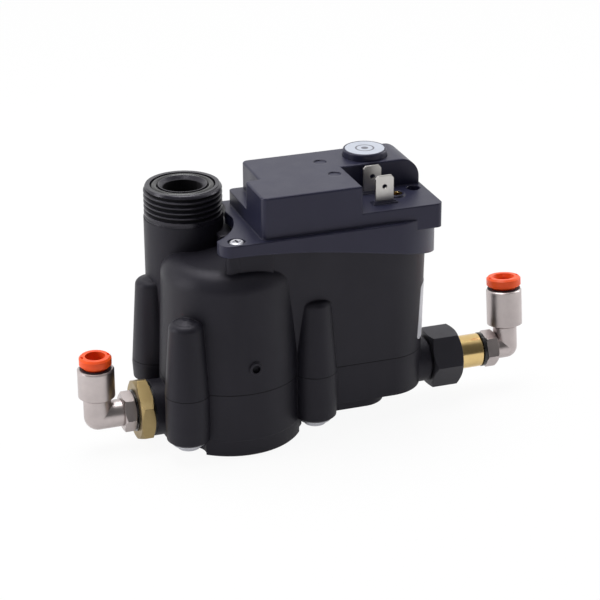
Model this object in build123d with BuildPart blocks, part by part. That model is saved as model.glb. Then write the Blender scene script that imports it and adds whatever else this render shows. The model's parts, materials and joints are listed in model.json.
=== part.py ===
from build123d import *
import os
from math import sin, cos, tan, radians

os.makedirs("parts", exist_ok=True)

# Frame: origin at the centre of the inlet pipe's end face, +X along the long side
# towards the outlet, +Y to the back, +Z up. All sizes in millimetres.

# inlet pipe, G 3/4 male end
inlet_r = 13.22
inlet_thread_len = 11.2
inlet_bore_r = 6.66
pipe_r = 13.4
pipe_foot_r = 14.5

# common mid plane of collector, valve body and both hose fittings
mid_y = -17.2

# collector
collector_x = 10.2
collector_r = 24.1
collector_draft = 2.3
collector_top_z = -19.5
shoulder_r = 7.0
wall = 2.8
roof_z = -24.5
parting_z = -61.0
bowl_z = -83.6
base_ring_z = -77.8

# valve body: a long D that leans in towards its foot
body_left_x = 16.7
body_top_z = -12.4
body_top_r = 18.0
body_top_x = 61.5
body_low_r = 13.9
body_low_x = 64.6
foot_z = -75.0
foot_r = 13.7
foot_x = 64.5
sole_z = -78.5
bay_floor_z = -21.5

# screw lugs: x, y, underside z, top z
lugs = [
    (-9.8, -33.4, -78.0, -35.2),
    (35.9, -30.2, -78.0, -34.4),
    (-12.0, -1.0, -68.5, -32.0),
    (35.9, -4.2, -78.0, -34.4),
]
lug_low_r = 7.5
lug_top_r = 5.7
lug_screw_r = 2.4
lug_head_r = 5.5

# diaphragm valve and its solenoid
valve_x = 64.6
chamber_r = 9.0
rim_r = 11.2
seat_z = -63.4
coil_bay_r = 12.0
coil_bay_z = -50.0

probe_x = 24.4

# electronics cover
flange_top_z = -9.4
flange_low_z = -11.4
flange_front_y = -37.6
flange_back_y = 3.2
flange_end_x = 61.9
flange_end_r = (flange_back_y - flange_front_y) / 2
skirt_t = 1.8
tier_z = -4.62
lid_z = 4.93
lid_left_x = 16.3
lid_step_x = 21.1
lid_front_y = -35.84
lid_back_y = 1.48
lid_end_x = 78.5
well_x = 50.62
well_y = -15.79
step_y = -17.8
cover_t = 2.0
ear_xy = (8.06, -33.6)
deep_screw_xy = (75.2, -19.0)
insert_xy = (67.4, -23.1)
window_xy = [(45.5, -9.0), (46.1, -21.6)]

# test button
button_xy = (62.15, -7.26)
button_r = 7.45
button_top_z = 7.5
button_floor_z = 0.9

# power blades, 6.3 x 0.8
blade_w = 6.3
blade_t = 0.8
blade_top_z = 5.05
blade_low_z = -10.5
front_blade_xy = (61.05, -28.6)
back_blade_xy = (60.65, -18.2)

# outlet side
outlet_z = -69.4
spigot_r = 7.0
nut_af = 18.5
nut_x0 = 81.5
nut_x1 = 92.3
nipple_r = 5.85
nipple_x1 = 101.8
outlet_stud_x = 103.0
stud_af = 11.2
stud_len = 4.5
outlet_turn_x = 112.0
outlet_lean = 7.5

# second connection at the left of the bowl
vent_z = -72.2
vent_boss_r = 9.5
vent_boss_x = -18.4
reducer_af = 19.6
reducer_x0 = -23.8
reducer_x1 = -19.0
vent_stud_x = -24.3
vent_turn_x = -36.6

# push-in fittings: heights above the swivel axis
tube_r = 3.05
collet_r = 4.2
elbow_r = 6.2
outlet_neck_r = 4.2
outlet_step_h = 8.3
outlet_mouth_h = 21.0
outlet_collar_h = 25.4
outlet_collar_r = 6.0
vent_neck_r = 4.65
vent_step_h = 7.7
vent_mouth_h = 17.7
vent_collar_h = 22.05
vent_collar_r = 5.45
collar_t = 3.2

sub = Mode.SUBTRACT
add_mode = Mode.ADD
x_dir = (1, 0, 0)


def rod_z(x, y, z0, z1, r, mode=add_mode, taper=0):
    with BuildSketch(Plane.XY.offset(z0), mode=Mode.PRIVATE) as s:
        with Locations((x, y)):
            Circle(r)
    extrude(s.sketch, amount=z1 - z0, mode=mode, taper=taper)


def rod_x(x0, x1, z, r, mode=add_mode):
    with BuildSketch(Plane.YZ.offset(x0), mode=Mode.PRIVATE) as s:
        with Locations((mid_y, z)):
            Circle(r)
    extrude(s.sketch, amount=x1 - x0, mode=mode)


def block(x0, x1, y0, y1, z0, z1, mode=add_mode, r=0):
    with BuildSketch(Plane.XY.offset(z0), mode=Mode.PRIVATE) as s:
        with Locations(((x0 + x1) / 2, (y0 + y1) / 2)):
            if r > 0:
                RectangleRounded(x1 - x0, y1 - y0, r)
            else:
                Rectangle(x1 - x0, y1 - y0)
    extrude(s.sketch, amount=z1 - z0, mode=mode)


def turned_x(points, z, mode=add_mode):
    with BuildSketch(Plane.XZ.offset(-mid_y), mode=Mode.PRIVATE) as s:
        with BuildLine():
            Polyline(*[(x, z + r) for x, r in points], close=True)
        make_face()
    revolve(s.sketch, axis=Axis((0, mid_y, z), x_dir), mode=mode)


def hex_x(x0, x1, z, af, turn):
    with BuildSketch(Plane.YZ.offset(x0), mode=Mode.PRIVATE) as s:
        with Locations((mid_y, z)):
            RegularPolygon(af / 2, 6, major_radius=False, rotation=turn)
    extrude(s.sketch, amount=x1 - x0)
    corner = af / 2 / cos(radians(30))
    flat = af / 2 * 0.985
    slope = (corner - flat) * tan(radians(30))
    turned_x([(x0, 0), (x0, flat), (x0 + slope, corner), (x1 - slope, corner), (x1, flat), (x1, 0)],
             z, Mode.INTERSECT)


def lathe(plane, points, mode=add_mode):
    side = Plane(origin=plane.origin, x_dir=plane.x_dir, z_dir=-plane.y_dir)
    with BuildSketch(side, mode=Mode.PRIVATE) as s:
        with BuildLine():
            Polyline(*points, close=True)
        make_face()
    revolve(s.sketch, axis=Axis(plane.origin, plane.z_dir), mode=mode)


def coil(x, y, z, radius, height, turns, wire):
    with BuildLine(Plane((x, y, z)), mode=Mode.PRIVATE) as path:
        Helix(pitch=height / turns, height=height, radius=radius)
    start = Plane(origin=path.line @ 0, z_dir=path.line % 0)
    with BuildSketch(start, mode=Mode.PRIVATE) as s:
        RegularPolygon(wire, 4)
    sweep(s.sketch, path.line, is_frenet=True)


def d_shape(z, r, x1):
    with BuildSketch(Plane.XY.offset(z), mode=Mode.PRIVATE) as s:
        with BuildLine():
            Line((body_left_x, mid_y - r), (x1, mid_y - r))
            ThreePointArc((x1, mid_y - r), (x1 + r, mid_y), (x1, mid_y + r))
            Line((x1, mid_y + r), (body_left_x, mid_y + r))
            Line((body_left_x, mid_y + r), (body_left_x, mid_y - r))
        make_face()
    return s.sketch


def stadium(z, x0, x1, r):
    with BuildSketch(Plane.XY.offset(z), mode=Mode.PRIVATE) as s:
        with Locations(((x0 + x1) / 2, mid_y)):
            Rectangle(x1 - x0, 2 * r)
        with Locations((x1, mid_y)):
            Circle(r)
    return s.sketch


def flange_outline(z, inset=0):
    with BuildSketch(Plane.XY.offset(z), mode=Mode.PRIVATE) as s:
        with BuildLine():
            Line((2.0, flange_front_y), (flange_end_x, flange_front_y))
            ThreePointArc((flange_end_x, flange_front_y), (flange_end_x + flange_end_r, mid_y),
                          (flange_end_x, flange_back_y))
            Line((flange_end_x, flange_back_y), (13.73, flange_back_y))
            ThreePointArc((13.73, flange_back_y), (14.0, -1.6), (12.56, -6.4))
            Line((12.56, -6.4), (13.2, -12.1))
            ThreePointArc((13.2, -12.1), (9.9, -22.7), (2.0, -31.2))
            Line((2.0, -31.2), (2.0, flange_front_y))
        make_face()
        corner = s.vertices().filter_by_position(Axis.X, 1.9, 2.1).sort_by(Axis.Y)
        fillet(corner[0], 3.8)
        fillet(s.vertices().filter_by_position(Axis.X, 1.9, 2.1).sort_by(Axis.Y)[-1], 1.2)
        if inset > 0:
            offset(amount=-inset, mode=Mode.REPLACE)
    return s.sketch


def seal_loop(inset):
    with BuildSketch(Plane.XY.offset(parting_z), mode=Mode.PRIVATE) as s:
        with Locations((collector_x, mid_y)):
            Circle(23.35 - inset)
        with Locations(((28 + valve_x) / 2, mid_y)):
            Rectangle(valve_x - 28, 2 * (9.0 - inset))
        with Locations((valve_x, mid_y)):
            Circle(12.75 - inset)
    return s.sketch


# ---------------------------------------------------------------- housing
with BuildPart() as housing:
    rod_z(collector_x, mid_y, parting_z, collector_top_z, collector_r, taper=collector_draft)
    fillet(housing.faces().sort_by(Axis.Z)[-1].edges(), shoulder_r)
    loft([d_shape(parting_z, body_low_r, body_low_x), d_shape(body_top_z, body_top_r, body_top_x)])
    # rim that closes the body towards the pipe, under the cover's left wing
    with BuildSketch(Plane.XY.offset(-26.0)):
        add(flange_outline(-26.0, skirt_t + 0.6))
        with Locations((10.0, mid_y)):
            Rectangle(20.0, 60.0, mode=Mode.INTERSECT)
    extrude(amount=body_top_z + 26.0)
    rod_z(0, 0, -40.0, -inlet_thread_len, pipe_r)
    rod_z(0, 0, -inlet_thread_len, 0, inlet_r)
    with BuildSketch(Plane.XY.offset(parting_z)) as foot:
        Circle(pipe_foot_r)
    with BuildSketch(Plane.XY.offset(-40.0)) as shank:
        Circle(pipe_r)
    loft()
    for x, y, z0, z1 in lugs:
        with BuildSketch(Plane((x, y, 0), x_dir=(1, 0, 0), z_dir=(0, -1, 0))):
            with BuildLine():
                Line((0, parting_z), (lug_low_r, parting_z))
                Line((lug_low_r, parting_z), (lug_top_r, z1 - 2.3))
                ThreePointArc((lug_top_r, z1 - 2.3), (lug_top_r - 0.66, z1 - 0.7), (lug_top_r - 2.2, z1))
                Polyline((lug_top_r - 2.2, z1), (1.3, z1 + 0.9), (0, z1 + 0.9), (0, parting_z))
            make_face()
        revolve(axis=Axis((x, y, 0), (0, 0, 1)))
    # wet collector bay with a rounded roof
    with BuildSketch(Plane.XY.offset(parting_z)):
        with Locations((collector_x, mid_y)):
            Circle(collector_r - wall)
    extrude(amount=roof_z - parting_z, taper=collector_draft, mode=sub)
    rod_z(0, 0, -44.0, 0, inlet_bore_r, mode=sub)
    # dry bay for the board
    extrude(stadium(bay_floor_z, 18.9, flange_end_x, 15.6), amount=body_top_z - bay_floor_z, mode=sub)
    block(40.0, 47.0, mid_y - 9, mid_y + 9, -56.0, bay_floor_z, mode=sub, r=2.0)
    rod_z(valve_x, mid_y, coil_bay_z, bay_floor_z, coil_bay_r, mode=sub)
    rod_z(probe_x, mid_y, roof_z, bay_floor_z, 4.05, mode=sub)
    # control chamber above the diaphragm, pilot drilling to the core tube
    rod_z(valve_x, mid_y, parting_z, -55.0, chamber_r, mode=sub)
    rod_z(valve_x, mid_y, -55.0, coil_bay_z, 1.2, mode=sub)
    # post for the deep cover screw and rests for the board
    rod_z(deep_screw_xy[0], deep_screw_xy[1], -25.0, body_top_z, 3.2)
    rod_z(deep_screw_xy[0], deep_screw_xy[1], -24.0, body_top_z, 1.52, mode=sub)
    for x in (24.0, 50.0):
        for y in (-28.6, -5.8):
            rod_z(x, y, bay_floor_z, -15.0, 2.0)
    rod_z(ear_xy[0], ear_xy[1], -24.0, body_top_z, 1.52, mode=sub)
    for x, y, z0, z1 in lugs:
        rod_z(x, y, parting_z, parting_z + 15, lug_screw_r + 0.05, mode=sub)
    # blind sampling port on the collector's front
    with BuildSketch(Plane.XZ.offset(41.0 - 0.4)):
        with Locations((collector_x + 1.4, -52.1)):
            Circle(2.3)
    extrude(amount=0.95)
    with BuildSketch(Plane.XZ.offset(39.9)):
        with Locations((collector_x + 1.4, -52.1)):
            Circle(1.4)
    extrude(amount=3.0, mode=sub)
    # face groove and lead-in of the inlet end
    with BuildSketch(Plane.XZ):
        with Locations((9.65, -0.6)):
            Rectangle(2.7, 1.2)
        with BuildLine():
            Polyline((inlet_bore_r - 0.1, 0), (8.0, 0), (inlet_bore_r - 0.1, -1.3), close=True)
        make_face()
    revolve(axis=Axis.Z, mode=sub)
housing.part.label = "housing"

# ------------------------------------------------------------- bottom cover
with BuildPart() as bottom_cover:
    rod_z(collector_x, mid_y, base_ring_z, parting_z, collector_r)
    rod_z(collector_x, mid_y, bowl_z, base_ring_z, collector_r - 0.15)
    chamfer(bottom_cover.faces().sort_by(Axis.Z)[0].edges(), 0.5)
    loft([d_shape(foot_z, foot_r, foot_x), d_shape(parting_z, body_low_r, body_low_x)])
    block(33.0, 64.0, -28.8, -5.6, sole_z, foot_z, r=9.0)
    rod_z(0, 0, -70.0, parting_z, pipe_foot_r)
    fillet(bottom_cover.edges().filter_by(GeomType.CIRCLE).filter_by_position(Axis.Z, -70.1, -69.9), 2.0)
    for x, y, z0, z1 in lugs:
        lathe(Plane((x, y, z0)), [(0, 0), (lug_low_r - 1.2, 0), (lug_low_r - 0.2, 0.9),
              (lug_low_r + 0.1, 6.0), (lug_low_r, parting_z - z0), (0, parting_z - z0)])
    rod_x(vent_boss_x, 4.0, vent_z, vent_boss_r)
    # outlet neck and threaded spigot
    rod_x(70.0, 80.9, outlet_z, 7.9)
    rod_x(70.0, 86.5, outlet_z, spigot_r)
    # bowl
    rod_z(collector_x, mid_y, bowl_z + wall, parting_z, collector_r - wall, mode=sub)
    # left port
    rod_x(vent_boss_x, -6.0, vent_z, 7.95, mode=sub)
    # pockets for the four screws
    for x, y, z0, z1 in lugs:
        rod_z(x, y, z0, parting_z, lug_screw_r + 0.3, mode=sub)
        rod_z(x, y, bowl_z - 1, z0, lug_head_r + 0.3, mode=sub)
    # diaphragm seat and outlet drillings
    rod_z(valve_x, mid_y, parting_z - 1.2, parting_z, rim_r + 0.05, mode=sub)
    rod_z(valve_x, mid_y, -66.6, parting_z, chamber_r, mode=sub)
    rod_z(valve_x, mid_y, -66.6, seat_z, 4.4)
    rod_z(valve_x, mid_y, outlet_z, seat_z, 2.9, mode=sub)
    rod_x(valve_x, 86.5, outlet_z, 3.2, mode=sub)
    rod_x(28.0, valve_x - 8.0, -64.0, 2.4, mode=sub)
    # groove for the parting seal
    extrude(seal_loop(0), amount=-1.2, mode=sub)
    extrude(seal_loop(1.2), amount=-1.2)
    rod_z(collector_x, mid_y, parting_z - 1.3, parting_z, collector_r - wall, mode=sub)
    rod_z(valve_x, mid_y, parting_z - 1.2, parting_z, rim_r + 0.05, mode=sub)
    # cored pockets beside the channel from bowl to valve
    for y0 in (mid_y - 6.6, mid_y + 3.6):
        block(41.0, 50.0, y0, y0 + 3.0, -72.5, parting_z, mode=sub, r=1.0)
bottom_cover.part.label = "bottom_cover"

# ------------------------------------------------------------- parting seal
with BuildPart() as bottom_cover_seal:
    extrude(seal_loop(0.05), amount=-1.18)
    extrude(seal_loop(1.15), amount=-1.18, mode=sub)
bottom_cover_seal.part.label = "bottom_cover_seal"

# ------------------------------------------------------- bottom cover screws
with BuildPart() as bottom_cover_screws:
    for x, y, z0, z1 in lugs:
        lathe(Plane((x, y, z0)), [(0, 14 + parting_z - z0), (lug_screw_r, 13 + parting_z - z0),
              (lug_screw_r, 0), (lug_head_r, 0), (lug_head_r, -0.9), (4.2, -1.0), (3.7, -2.5),
              (2.6, -3.0), (0, -3.0)])
bottom_cover_screws.part.label = "bottom_cover_screws"

# -------------------------------------------------------- electronics cover
with BuildPart() as electronics_cap:
    extrude(flange_outline(-30.0), amount=flange_top_z + 30.0)
    with BuildSketch(Plane.XZ.offset(-20.0)):
        with BuildLine():
            wave = Spline((-6, -13.6), (14, -13.6), (28, -14.6), (42, -16.4), (56, -18.7), (66, -20.5),
                          (75, -23.0), (86, -28.0))
            Polyline(wave @ 1, (86, -34), (-6, -34), wave @ 0)
        make_face()
    extrude(amount=80, mode=sub)
    # slab, overhanging the rounded end of the flange
    block(lid_left_x, 79.3, lid_front_y, lid_back_y, flange_top_z, tier_z, r=2.0)
    block(60.0, 79.3, lid_front_y, lid_back_y, -13.0, tier_z, r=2.0)
    extrude(flange_outline(-30.0, skirt_t), amount=flange_low_z + 30.0, mode=sub)
    # raised lid with its step at the left and its long arm at the back
    with BuildSketch(Plane.XY.offset(tier_z)):
        with BuildLine():
            Line((lid_left_x, step_y - 1), (lid_left_x, lid_front_y + 2))
            ThreePointArc((lid_left_x, lid_front_y + 2), (lid_left_x + 0.586, lid_front_y + 0.586),
                          (lid_left_x + 2, lid_front_y))
            Polyline((lid_left_x + 2, lid_front_y), (well_x, lid_front_y), (well_x, well_y),
                     (lid_end_x, well_y), (lid_end_x, lid_back_y), (lid_step_x + 2, lid_back_y))
            ThreePointArc((lid_step_x + 2, lid_back_y), (lid_step_x + 0.586, lid_back_y - 0.586),
                          (lid_step_x, lid_back_y - 2))
            Polyline((lid_step_x, lid_back_y - 2), (lid_step_x, step_y), (lid_left_x + 1, step_y))
            ThreePointArc((lid_left_x + 1, step_y), (lid_left_x + 0.293, step_y - 0.293),
                          (lid_left_x, step_y - 1))
        make_face()
    extrude(amount=lid_z - tier_z)
    fillet(electronics_cap.faces().sort_by(Axis.Z)[-1].edges(), 0.6)
    with BuildSketch(Plane.XZ.offset(-3.0)):
        with BuildLine():
            Line((lid_end_x - 6.8, lid_z + 1), (lid_end_x - 6.8, lid_z))
            ThreePointArc((lid_end_x - 6.8, lid_z), (lid_end_x - 1.99, lid_z - 1.99), (lid_end_x, lid_z - 6.8))
            Polyline((lid_end_x, lid_z - 6.8), (lid_end_x + 1, lid_z - 6.8), (lid_end_x + 1, lid_z + 1),
                     (lid_end_x - 6.8, lid_z + 1))
        make_face()
    extrude(amount=20, mode=sub)
    # hollow
    with BuildSketch(Plane.XY.offset(flange_low_z)):
        with Locations((47.85, (lid_front_y + lid_back_y) / 2)):
            RectangleRounded(58.9, lid_back_y - lid_front_y - 2 * cover_t, 1.5)
    extrude(amount=-6.6 - flange_low_z, mode=sub)
    block(lid_left_x + 2, well_x - 2, lid_front_y + 2, step_y - 2, -6.7, lid_z - 2, mode=sub)
    block(lid_step_x + 2, well_x - 2, step_y - 2.5, lid_back_y - 2, -6.7, lid_z - 2, mode=sub)
    block(well_x - 2.5, lid_end_x - 6.0, well_y + 2, lid_back_y - 2, -6.7, lid_z - 2, mode=sub)
    # button well
    rod_z(button_xy[0], button_xy[1], -1.0, lid_z, 8.45)
    rod_z(button_xy[0], button_xy[1], button_floor_z, 5.8, button_r + 0.08, mode=sub)
    rod_z(button_xy[0], button_xy[1], -1.1, 1.0, 2.56, mode=sub)
    # window dimples over the light guides
    for x, y in window_xy:
        rod_z(x, y, lid_z - 0.35, lid_z + 0.1, 2.2, mode=sub)
    # tower of the deep screw
    rod_z(deep_screw_xy[0], deep_screw_xy[1], -12.35, -6.0, 4.0)
    rod_z(deep_screw_xy[0], deep_screw_xy[1], -10.2, tier_z + 0.1, 2.25, mode=sub)
    rod_z(deep_screw_xy[0], deep_screw_xy[1], -12.4, -10.0, 1.6, mode=sub)
    # ring boss for the threaded insert
    rod_z(insert_xy[0], insert_xy[1], -10.6, -4.0, 3.1)
    rod_z(insert_xy[0], insert_xy[1], -10.6, -3.9, 2.22, mode=sub)
    # stepped seats round the blades and their slots
    for x, y in (front_blade_xy, back_blade_xy):
        block(x - 4.3, x + 4.3, y - 1.7, y + 1.7, tier_z, tier_z + 0.45)
        block(x - 3.8, x + 3.8, y - 1.2, y + 1.2, tier_z, tier_z + 0.9)
        block(x - 3.2, x + 3.2, y - 0.45, y + 0.45, -6.7, tier_z + 1.0, mode=sub)
    # ear with its counterbore
    block(4.7, 11.4, -35.8, -31.4, body_top_z + 0.05, flange_low_z, r=1.0)
    rod_z(ear_xy[0], ear_xy[1], -12.6, flange_top_z + 0.1, 1.6, mode=sub)
    rod_z(ear_xy[0], ear_xy[1], -10.6, flange_top_z + 0.1, 2.85, mode=sub)
electronics_cap.part.label = "electronics_cap"

# --------------------------------------------------------------- cap gasket
with BuildPart() as cap_gasket:
    extrude(stadium(body_top_z, 17.0, flange_end_x, 17.6), amount=0.98)
    extrude(stadium(body_top_z, 19.2, flange_end_x, 15.8), amount=0.98, mode=sub)
    rod_z(deep_screw_xy[0], deep_screw_xy[1], body_top_z, body_top_z + 1, 4.1, mode=sub)
cap_gasket.part.label = "cap_gasket"

# --------------------------------------------------------------- cap screws
with BuildPart() as cap_screws:
    for (x, y), z, r in ((ear_xy, -10.6, 2.45), (deep_screw_xy, -10.2, 2.1)):
        lathe(Plane((x, y, z)), [(0, -10), (1.0, -10), (1.5, -9), (1.5, 0), (r, 0), (r, 0.9),
              (r - 0.5, 1.3), (0, 1.3)])
        block(x - 1.5, x + 1.5, y - 0.35, y + 0.35, z + 0.6, z + 1.4, mode=sub)
        block(x - 0.35, x + 0.35, y - 1.5, y + 1.5, z + 0.6, z + 1.4, mode=sub)
cap_screws.part.label = "cap_screws"

# ------------------------------------------------------------- inlet O-ring
with BuildPart() as inlet_o_ring:
    with BuildSketch(Plane.XZ):
        with BuildLine():
            Line((8.4, -1.18), (10.9, -1.18))
            ThreePointArc((10.9, -1.18), (9.65, -0.04), (8.4, -1.18))
        make_face()
    revolve(axis=Axis.Z)
inlet_o_ring.part.label = "inlet_o_ring"

# -------------------------------------------------------------- test button
with BuildPart() as test_button:
    lathe(Plane((button_xy[0], button_xy[1], 0)), [
        (0, 5.6), (button_r - 1, 5.6), (button_r - 1, 2.3), (button_r, 2.3), (button_r, 6.9),
        (button_r - 0.15, 7.25), (button_r - 0.45, 7.4), (button_r - 0.7, 7.3), (button_r - 0.7, 7.1), (0, 7.1)])
    rod_z(button_xy[0], button_xy[1], -8.0, 6.0, 2.5)
test_button.part.label = "test_button"

with BuildPart() as test_button_clip:
    rod_z(button_xy[0], button_xy[1], -2.2, -1.05, 3.6)
    rod_z(button_xy[0], button_xy[1], -2.3, -1.0, 2.52, mode=sub)
    block(button_xy[0] - 0.9, button_xy[0] + 0.9, button_xy[1] - 4, button_xy[1], -2.3, -1.0, mode=sub)
test_button_clip.part.label = "test_button_clip"

with BuildPart() as test_button_label:
    rod_z(button_xy[0], button_xy[1], 7.1, button_top_z - 0.15, button_r - 0.78)
test_button_label.part.label = "test_button_label"

with BuildPart() as test_button_spring:
    coil(button_xy[0], button_xy[1], 1.35, 4.4, 3.8, 3, 0.35)
test_button_spring.part.label = "test_button_spring"

# ------------------------------------------------------------ circuit board
with BuildPart() as circuit_board:
    extrude(stadium(-15.0, 21.0, flange_end_x, 14.3), amount=1.6)
    rod_z(deep_screw_xy[0], deep_screw_xy[1], -15.1, -13.3, 4.2, mode=sub)
    block(27.0, 41.0, -30.0, -19.0, -13.4, -1.5, r=0.6)
    rod_z(33.0, -8.5, -13.4, -3.0, 5.0)
    block(56.6, 65.4, -31.0, -26.4, -13.4, -7.0, r=0.5)
    block(56.2, 64.9, -20.9, -15.8, -13.4, -7.0, r=0.5)
    block(57.0, 64.0, -27.0, -20.0, -13.4, -11.4)
    block(button_xy[0] - 3, button_xy[0] + 3, button_xy[1] - 3, button_xy[1] + 3, -13.4, -10.2)
    rod_z(button_xy[0], button_xy[1], -10.2, -9.4, 1.6)
    for x, y in window_xy:
        rod_z(x, y, -13.4, -11.6, 2.0)
    for x, y in (front_blade_xy, back_blade_xy):
        block(x - 3.2, x + 3.2, y - 0.45, y + 0.45, blade_low_z - 0.1, -6.9, mode=sub)
    for i in range(5):
        block(24.0 + 4.6 * i, 26.6 + 4.6 * i, -15.6, -13.8, -13.4, -12.4)
circuit_board.part.label = "circuit_board"

with BuildPart() as light_guides:
    for x, y in window_xy:
        rod_z(x, y, -11.6, lid_z - 2.05, 1.7)
light_guides.part.label = "light_guides"

# ------------------------------------------------------------- power blades
def blade(x, y):
    with BuildSketch(Plane.XZ.offset(-y - blade_t / 2), mode=Mode.PRIVATE) as s:
        with BuildLine():
            Polyline((x - blade_w / 2, blade_low_z), (x + blade_w / 2, blade_low_z),
                     (x + blade_w / 2, blade_top_z - 1.1), (x + blade_w / 2 - 0.9, blade_top_z),
                     (x - blade_w / 2 + 0.9, blade_top_z), (x - blade_w / 2, blade_top_z - 1.1),
                     close=True)
        make_face()
        with Locations((x, blade_top_z - 3.9)):
            Circle(0.85, mode=sub)
    extrude(s.sketch, amount=blade_t)


with BuildPart() as power_blade_front:
    blade(front_blade_xy[0], front_blade_xy[1])
    tips = power_blade_front.edges().filter_by(Axis.X).filter_by_position(Axis.Z, blade_top_z - 0.1, blade_top_z + 0.1)
    chamfer(tips, 0.25)
power_blade_front.part.label = "power_blade_front"

with BuildPart() as power_blade_back:
    blade(back_blade_xy[0], back_blade_xy[1])
    tips = power_blade_back.edges().filter_by(Axis.X).filter_by_position(Axis.Z, blade_top_z - 0.1, blade_top_z + 0.1)
    chamfer(tips, 0.25)
power_blade_back.part.label = "power_blade_back"

with BuildPart() as terminal_insert:
    rod_z(insert_xy[0], insert_xy[1], -10.2, -4.1, 2.2)
    rod_z(insert_xy[0], insert_xy[1], -9.2, -4.0, 1.25, mode=sub)
terminal_insert.part.label = "terminal_insert"

# ------------------------------------------------------- level sensor probe
with BuildPart() as level_sensor_probe:
    rod_z(probe_x, mid_y, bay_floor_z, -18.4, 5.2)
    rod_z(probe_x, mid_y, -76.0, bay_floor_z, 4.0)
    fillet(level_sensor_probe.faces().sort_by(Axis.Z)[0].edges(), 2.4)
    rod_z(probe_x, mid_y, -18.4, -16.6, 1.6)
level_sensor_probe.part.label = "level_sensor_probe"

with BuildPart() as probe_seal:
    lathe(Plane((probe_x, mid_y, roof_z - 0.75)), [(4.1, -0.4), (4.4, -0.7), (5.2, -0.7), (5.2, 0.7), (4.4, 0.7),
                                                   (4.1, 0.4)])
probe_seal.part.label = "probe_seal"

# ----------------------------------------------------------- pilot solenoid
with BuildPart() as core_tube:
    lathe(Plane((valve_x, mid_y, 0)), [
        (1.2, coil_bay_z), (8.0, coil_bay_z), (8.0, -48.2), (4.5, -48.2), (4.5, -27.0), (0, -27.0),
        (0, -37.5), (3.96, -37.5), (3.96, -49.2), (1.2, -49.2)])
    rod_z(valve_x, mid_y, -37.6, -33.0, 1.6, mode=sub)
core_tube.part.label = "core_tube"

with BuildPart() as armature:
    rod_z(valve_x, mid_y, -49.15, -38.55, 3.9)
    rod_z(valve_x, mid_y, -42.0, -38.5, 1.6, mode=sub)
    for turn in (-1, 1):
        block(valve_x + turn * 3.7 - 0.4, valve_x + turn * 3.7 + 0.4, mid_y - 0.5, mid_y + 0.5,
              -49.2, -38.5, mode=sub)
armature.part.label = "armature"

with BuildPart() as armature_spring:
    coil(valve_x, mid_y, -41.7, 1.15, 8.4, 6, 0.22)
armature_spring.part.label = "armature_spring"

with BuildPart() as solenoid_coil:
    rod_z(valve_x, mid_y, -46.6, -30.6, 9.4)
    rod_z(valve_x, mid_y, -46.7, -30.5, 4.55, mode=sub)
    with BuildSketch(Plane.XZ.offset(-mid_y)):
        with Locations((valve_x + 10.4, -38.6)):
            Rectangle(4.4, 13.0)
    revolve(axis=Axis((valve_x, mid_y, 0), (0, 0, 1)), mode=sub)
    rod_z(valve_x, mid_y, -45.0, -32.2, 8.9)
    rod_z(valve_x, mid_y, -46.7, -30.5, 4.55, mode=sub)
solenoid_coil.part.label = "solenoid_coil"

with BuildPart() as coil_yoke:
    for z0 in (-48.1, -30.55):
        block(valve_x - 7.4, valve_x + 7.4, mid_y - 6.5, mid_y + 8.5, z0, z0 + 1.45, r=1.0)
        block(valve_x - 4.5, valve_x + 4.5, mid_y, mid_y + 10.7, z0, z0 + 1.45)
    block(valve_x - 4.5, valve_x + 4.5, mid_y + 9.5, mid_y + 10.7, -48.1, -29.1)
    rod_z(valve_x, mid_y, -48.2, -29.0, 4.55, mode=sub)
coil_yoke.part.label = "coil_yoke"

# ---------------------------------------------------------- diaphragm valve
with BuildPart() as diaphragm:
    lathe(Plane((valve_x, mid_y, parting_z)), [
        (5.55, -1.3), (6.6, -1.3), (7.2, -0.6), (8.0, -0.4), (8.6, -0.9), (9.2, -1.18), (rim_r, -1.18),
        (rim_r, -0.02), (8.8, -0.02), (8.2, 0.3), (7.3, 0.5), (6.6, -0.2), (6.3, -0.4), (5.55, -0.4)])
diaphragm.part.label = "diaphragm"

with BuildPart() as diaphragm_plate:
    lathe(Plane((valve_x, mid_y, 0)), [
        (0, seat_z), (4.9, seat_z), (5.5, seat_z + 0.5), (5.5, -61.0), (4.4, -60.6), (2.2, -60.6),
        (2.2, -59.4), (0, -59.4)])
diaphragm_plate.part.label = "diaphragm_plate"

with BuildPart() as diaphragm_spring:
    coil(valve_x, mid_y, -60.2, 3.3, 4.8, 4, 0.3)
diaphragm_spring.part.label = "diaphragm_spring"

# ------------------------------------------------------------- outlet union
with BuildPart() as outlet_union_nut:
    hex_x(nut_x0, nut_x1, outlet_z, nut_af, 0)
    rod_x(nut_x0, 89.6, outlet_z, spigot_r + 0.05, mode=sub)
    rod_x(nut_x0, nut_x1, outlet_z, nipple_r + 0.05, mode=sub)
outlet_union_nut.part.label = "outlet_union_nut"

with BuildPart() as outlet_seal_ring:
    turned_x([(86.55, 3.4), (86.55, 6.9), (87.75, 6.9), (87.75, 3.4)], outlet_z)
outlet_seal_ring.part.label = "outlet_seal_ring"

with BuildPart() as outlet_nipple:
    turned_x([(87.8, 2.6), (87.8, 6.9), (89.55, 6.9), (89.55, nipple_r), (nipple_x1 - 0.5, nipple_r),
              (nipple_x1, nipple_r - 0.5), (nipple_x1, 4.83), (94.6, 4.83), (94.6, 2.6)], outlet_z)
outlet_nipple.part.label = "outlet_nipple"

with BuildPart() as outlet_stud_seal:
    turned_x([(nipple_x1 + 0.05, 4.85), (nipple_x1 + 0.05, 6.0), (outlet_stud_x - 0.05, 6.0),
              (outlet_stud_x - 0.05, 4.85)], outlet_z)
outlet_stud_seal.part.label = "outlet_stud_seal"

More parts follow.
